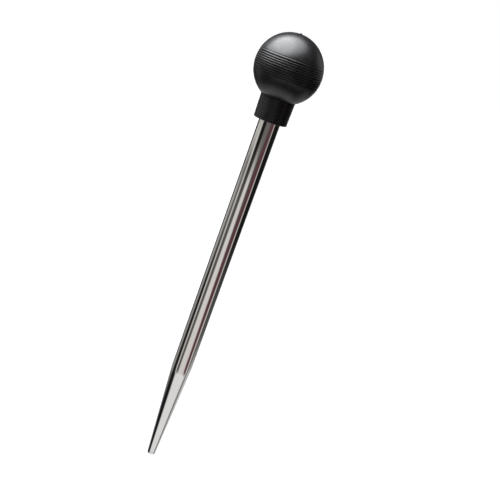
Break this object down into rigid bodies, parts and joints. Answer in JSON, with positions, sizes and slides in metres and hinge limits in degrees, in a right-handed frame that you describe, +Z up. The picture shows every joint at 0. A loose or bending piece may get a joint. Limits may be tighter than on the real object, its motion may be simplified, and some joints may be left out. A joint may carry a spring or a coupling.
{
  "type": "squeeze-bulb siphon",
  "caption": "Hollow rubber squeeze ball and ribbed collar on a long polished steel tube with a tapered open tip, for drawing liquid from a narrow-necked vessel.",
  "frame": {"origin": "centre of the open tip, at its end face", "axes": "+Z runs up the tube's axis from the tip to the ball; the shape is turned, so X and Y are alike"},
  "size_m": [0.059, 0.059, 0.4275],
  "materials": {
    "polished_steel": "mirror-polished stainless steel with faint lengthwise drawing lines",
    "black_rubber": "soft black rubber, fine satin grain",
    "seal_rubber": "matte dark rubber"
  },
  "bodies": {
    "collar": {"ribbed_collar": "black_rubber", "seal_ring": "seal_rubber"},
    "tube": {"barrel_tube": "polished_steel", "tapered_tip": "polished_steel"},
    "ball": {"squeeze_ball": "black_rubber"}
  },
  "joints": [
    {"name": "tube_pull_off", "type": "slide", "parent": "collar", "child": "tube", "axis": [0, 0, -1], "range_m": [0, 0.03]},
    {"name": "ball_squeeze", "type": "slide", "parent": "collar", "child": "ball", "axis": [0, 0, -1], "range_m": [0, 0.02], "stiffness_N_per_m": 1000, "springref_m": -0.001, "deforming": ["squeeze_ball"]}
  ]
}
